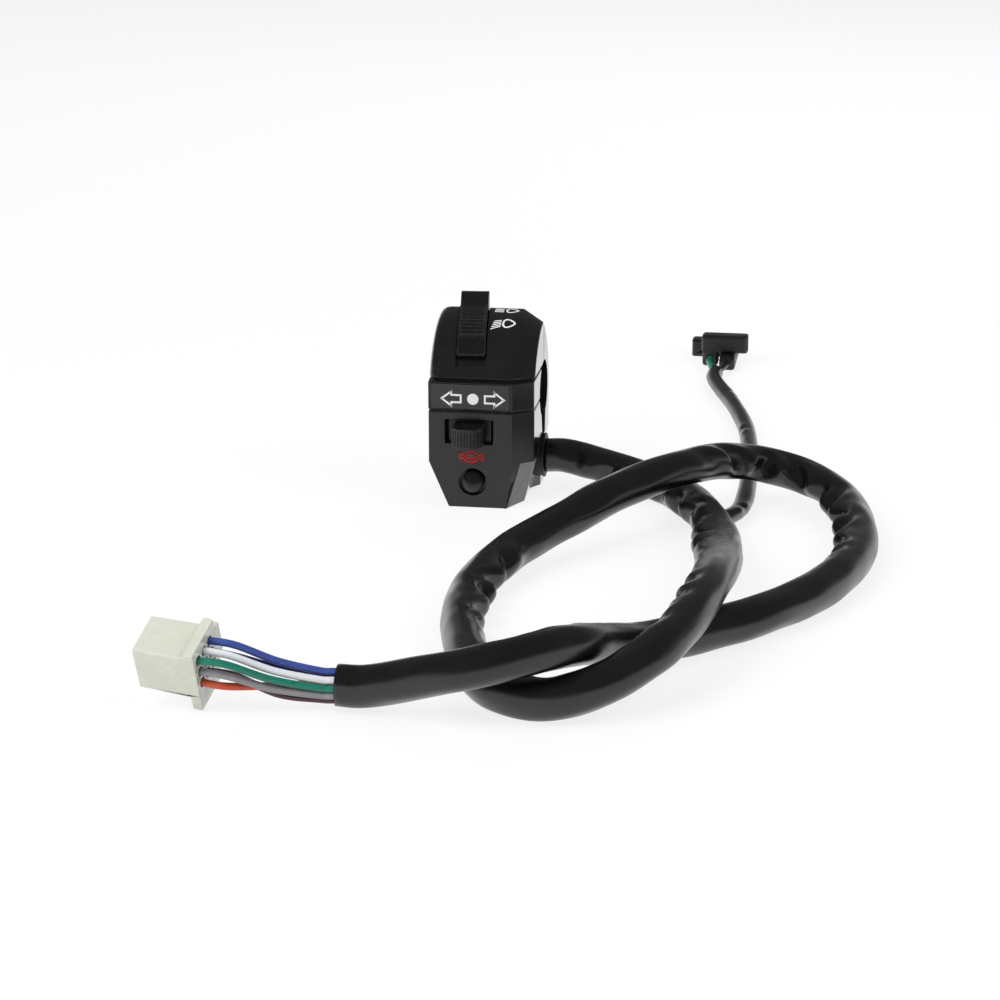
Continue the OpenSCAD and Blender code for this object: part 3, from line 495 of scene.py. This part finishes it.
def tube_object(name, line, radius, bore, bore_length):
    """Skin round a line, one radius in millimetres for each ring and side, open at its far end."""
    least_wall, table_clear = 0.6, 0.0001
    rings, sides = radius.shape
    way = np.gradient(line, axis=0)
    way /= np.linalg.norm(way, axis=1)[:, None]
    top = np.array([0, 0, 1.0]) - way * way[:, 2:3]
    top /= np.linalg.norm(top, axis=1)[:, None]
    side = np.cross(way, top)
    back = max(1, int(round(bore_length / (np.linalg.norm(line[1] - line[0]) / MM))))
    order = [*range(rings), rings - 1, rings - 1 - back]
    inner = np.full(sides, bore)
    rows = [*radius, np.minimum(inner, radius[-1] - least_wall), inner]
    angle = np.arange(sides) * 2 * math.pi / sides
    points = []
    for i, row in zip(order, rows):
        out = np.outer(np.cos(angle), top[i]) + np.outer(np.sin(angle), side[i])
        points.extend(line[i] + out * (row * MM)[:, None])
    points = np.array(points)
    points[:, 2] = np.maximum(points[:, 2], table_z + table_clear)
    next_to = [(k, (k + 1) % sides) for k in range(sides)]
    faces = [(i * sides + k, i * sides + m, (i + 1) * sides + m, (i + 1) * sides + k)
        for i in range(len(order) - 1) for k, m in next_to]
    last = (len(order) - 1) * sides
    faces.append(tuple(range(sides - 1, -1, -1)))
    faces.append(tuple(range(last, last + sides)))
    mesh = bpy.data.meshes.new(name)
    mesh.from_pydata(points.tolist(), [], faces)
    mesh.polygons.foreach_set("use_smooth", [True] * len(mesh.polygons))
    piece = bpy.data.objects.new(name, mesh)
    bpy.context.scene.collection.objects.link(piece)
    return piece


def crumpled(at, sides, half_d, buckles, flats, swell, seed):
    """Radii of a limp sleeve: flat stretches, buckles on the inside of bends, and small lumps."""
    lean_length, oval_length, lump_length, lumps_round = 70, 45, 16, 1.6
    oval, oval_change, oval_seed = 0.035, 0.03, 7
    ridge, ridge_off = 0.42, 1.9
    angle = np.arange(sides) * 360 / sides
    r = np.full((len(at), sides), half_d)
    for place, half, share in flats:
        r *= 1 - share * np.exp(-((at[:, None] - place) / half) ** 2) * np.cos(2 * np.radians(angle))
    for i, s in enumerate(at):
        lean = 180 * noise.noise(Vector((s / lean_length, seed, 0)))
        flat = oval + oval_change * noise.noise(Vector((s / oval_length, seed + oval_seed, 0)))
        r[i] *= 1 + flat * np.cos(2 * np.radians(angle - 90 - lean))
    for place, middle, depth, half, spread, slant in buckles:
        off = (angle - middle + 180) % 360 - 180
        lobe = np.exp(-(off / spread) ** 2)
        d = (at[:, None] - place - slant * np.radians(off) * half_d) / half
        dent, after, before = (np.exp(-(d - shift) ** 2) for shift in (0, ridge_off, -ridge_off))
        r += depth * lobe * (-dent + ridge * after + ridge * before)
    for i, s in enumerate(at):
        for k in range(sides):
            a = math.radians(angle[k])
            r[i, k] += swell * noise.noise(Vector((s / lump_length,
                lumps_round * math.cos(a) + seed, lumps_round * math.sin(a))))
    return r


sleeve_line, sleeve_at = smooth_line(sleeve_route, sleeve_step)
sleeve_radii = crumpled(sleeve_at, sleeve_sides, sleeve_d / 2 - 0.1, sleeve_buckles, sleeve_flats,
    sleeve_lumps, sleeve_seed)
harness = tube_object("sleeve_skin", sleeve_line, sleeve_radii, sleeve_bore, sleeve_bore_length)
sleeve_vinyl = moulded("sleeve_vinyl", (0.0035, 0.0035, 0.0038), (0.0065, 0.0065, 0.007),
    (0.010, 0.010, 0.011), (0.22, 0.34), clouds=14.0, grain=1.6, depth=0.04, edge=0.3,
    Coat_Weight=0.25, Coat_Roughness=0.28)
harness.data.materials.append(sleeve_vinyl)
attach(harness, "housing")
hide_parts("harness_sleeve")
dress(sleeve_vinyl, "inner_loom")

# Side lead: a thinner sleeve that leaves the main one under its first bend and runs back to the
# two flag terminals of the clutch switch.
lead_d, lead_step, lead_sides = 6.5, 1.0, 28
lead_bore, lead_bore_length = 2.7, 8
lead_lumps, lead_seed = 0.14, 11.0
lead_route = [
    (89, -56, -33.5), (94, -46, -34.5), (98, -30, -36), (99, -8, -36), (98, 22, -36), (96, 54, -36),
    (92, 86, -36), (85, 118, -36), (77, 146, -36), (73, 162, -36), (73, 172, -36)]
lead_line, lead_at = smooth_line(lead_route, lead_step)
lead_buckles = [(24, 60, 0.35, 2.5, 50, 0.2), (132, -60, 0.4, 2.5, 50, 0.3),
    (190, 70, 0.45, 2.4, 50, -0.2)]
lead_flats = [(40, 30, 0.06), (150, 40, 0.05)]
lead_radii = crumpled(lead_at, lead_sides, lead_d / 2 - 0.05, lead_buckles, lead_flats,
    lead_lumps, lead_seed)
lead = tube_object("lead_skin", lead_line, lead_radii, lead_bore, lead_bore_length)
lead.data.materials.append(sleeve_vinyl)
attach(lead, "housing")
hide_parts("side_lead")

# Wires: stranded copper in coloured vinyl, seven into the connector and two into the flag boots.
# Each is swept along its own route, from inside its sleeve to inside the connector or its boot.
wire_d, wire_step, wire_sides = 2.4, 0.8, 20
# Name: darker and paler tone of the vinyl, slot, route.
wire_looks = {
    "wire_blue": ((0.028, 0.055, 0.24), (0.04, 0.08, 0.31), "blue_wire",
        [(1, -247.4, -27.5), (-11, -247.7, -26.9), (-16, -247.7, -26.9),
        (-29, -250.3, -23.4), (-41.5, -254, -17.5), (-52.5, -252, -17)]),
    "wire_white": ((0.60, 0.61, 0.66), (0.72, 0.73, 0.76), "white_wire",
        [(1, -250, -29), (-11, -250.4, -28.8), (-16, -250.4, -28.8),
        (-29.5, -253.8, -25.4), (-42.5, -258, -19.5), (-53, -256, -19)]),
    "wire_navy": ((0.02, 0.02, 0.13), (0.035, 0.035, 0.19), "navy_wire",
        [(1, -244.8, -29), (-11, -245, -29), (-16, -245, -29),
        (-29, -248, -26.6), (-41.5, -252, -22), (-52, -250, -21)]),
    "wire_orange": ((0.40, 0.055, 0.022), (0.53, 0.085, 0.035), "orange_wire",
        [(1, -245.6, -31.6), (-11, -247, -31.2), (-16, -247, -31.2),
        (-29, -251.5, -31), (-43, -258.5, -29.5), (-53.5, -256.5, -29)]),
    "wire_green": ((0.004, 0.13, 0.085), (0.010, 0.19, 0.13), "green_wire",
        [(1, -250.5, -31.6), (-11, -251.3, -31.2), (-16, -251.3, -31.2),
        (-30, -256, -27.4), (-43, -262, -21), (-54, -260, -21)]),
    "wire_grey": ((0.2, 0.19, 0.2), (0.3, 0.28, 0.3), "grey_wire",
        [(1, -249.8, -34), (-11, -250.8, -33.7), (-16, -250.8, -33.7),
        (-30, -255, -30.8), (-43, -260, -25.5), (-54, -258, -25)]),
    "wire_brown": ((0.055, 0.018, 0.026), (0.1, 0.032, 0.042), "brown_wire",
        [(1, -247.6, -35.3), (-11, -248.6, -35.8), (-16, -248.6, -35.9),
        (-29, -250.5, -34.2), (-42, -254, -27.5), (-53, -252.5, -27)]),
    "lead_green": ((0.005, 0.16, 0.10), (0.012, 0.23, 0.15), "green_wire",
        [(71.5, 163, -36), (71.5, 172, -36), (71.5, 175, -36), (68.5, 190, -36), (68.5, 196, -36)]),
    "lead_black": ((0.008, 0.008, 0.008), (0.014, 0.014, 0.014), "sleeve_vinyl",
        [(74.5, 157, -36), (74.5, 172, -36), (74.5, 175, -36), (76.5, 185, -36), (76.5, 189, -36)])}

drawn_wire = bpy.data.node_groups.new("drawn_wire", "GeometryNodeTree")
drawn_wire.interface.new_socket("Geometry", in_out="INPUT", socket_type="NodeSocketGeometry")
wire_sockets = (("Radius", "NodeSocketFloat"), ("Sides", "NodeSocketInt"), ("Vinyl", "NodeSocketMaterial"))
wire_inputs = {label: drawn_wire.interface.new_socket(label, in_out="INPUT", socket_type=kind).identifier
    for label, kind in wire_sockets}
drawn_wire.interface.new_socket("Geometry", in_out="OUTPUT", socket_type="NodeSocketGeometry")
given = drawn_wire.nodes.new("NodeGroupInput")
section = add_node(drawn_wire, "GeometryNodeCurvePrimitiveCircle",
    {"Resolution": given.outputs["Sides"], "Radius": given.outputs["Radius"]})
swept = add_node(drawn_wire, "GeometryNodeCurveToMesh", {"Curve": given.outputs["Geometry"],
    "Profile Curve": section.outputs["Curve"], "Fill Caps": True})
smooth = add_node(drawn_wire, "GeometryNodeSetShadeSmooth", {"Geometry": swept.outputs[0]})
whole = add_node(drawn_wire, "GeometryNodeRealizeInstances", {"Geometry": smooth.outputs[0]})
coated = add_node(drawn_wire, "GeometryNodeSetMaterial",
    {"Geometry": whole.outputs[0], "Material": given.outputs["Vinyl"]})
drawn_wire.links.new(coated.outputs[0], drawn_wire.nodes.new("NodeGroupOutput").inputs[0])


def draw_wire(name, dark, light, route):
    """One wire: its route as a curve, swept by the node tree and turned into a plain mesh."""
    line, at = smooth_line(route, wire_step)
    curve = bpy.data.curves.new(name, "CURVE")
    curve.dimensions = "3D"
    spline = curve.splines.new("POLY")
    spline.points.add(len(line) - 1)
    spline.points.foreach_set("co", np.c_[line, np.ones(len(line))].ravel())
    guide = bpy.data.objects.new(name + "_guide", curve)
    bpy.context.scene.collection.objects.link(guide)
    vinyl = moulded(name + "_vinyl", dark, light, light, (0.26, 0.4), clouds=3.0, grain=0.5, depth=0.01,
        edge=0.1)
    sweep = guide.modifiers.new("sweep", "NODES")
    sweep.node_group = drawn_wire
    for label, value in (("Radius", wire_d / 2 * MM), ("Sides", wire_sides), ("Vinyl", vinyl)):
        sweep[wire_inputs[label]] = value
    mesh = bpy.data.meshes.new_from_object(guide.evaluated_get(bpy.context.evaluated_depsgraph_get()))
    bpy.data.objects.remove(guide)
    piece = bpy.data.objects.new(name + "_drawn", mesh)
    bpy.context.scene.collection.objects.link(piece)
    return piece, line, at[-1]


wires = {}
for name, (dark, light, slot, route) in wire_looks.items():
    piece, line, long = draw_wire(name, dark, light, route)
    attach(piece, "housing")
    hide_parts(name)
    wires[name] = (piece, line, long)

# Connector: a moulded block of milky nylon with a winged flange round its wire side. It holds the
# brass terminals that the wires are crimped into. Its edges are painted much paler, a painted highlight for
# the bright rims that light gives the milky nylon.
clear_nylon = moulded("clear_nylon", (0.54, 0.56, 0.47), (0.64, 0.66, 0.57), (0.80, 0.82, 0.75), (0.2, 0.3),
    clouds=10.0, depth=0.01, edge=0.6, Coat_Weight=0.5, Coat_Roughness=0.15)
connector = eased("connector_housing", "housing", clear_nylon, width=0.5, segments=2, shortest=2.0)

# Flag boots: soft black vinyl covers pushed over two brass flag terminals, one boot before the
# other. Their edges are well rounded.
boot_vinyl = moulded("boot_vinyl", (0.007, 0.007, 0.007), (0.013, 0.013, 0.013), (0.025, 0.025, 0.025),
    (0.34, 0.46))
boots = {}
for wire, name, spare in (("lead_green", "boot_front", [cad["flag_terminals"]]),
        ("lead_black", "boot_rear", [])):
    boot = eased(name, "housing", boot_vinyl, width=1.5, segments=4, shortest=3.0)
    boots[wire] = [boot, *spare]
for name, parts in boots.items():
    piece, line, long = wires[name]
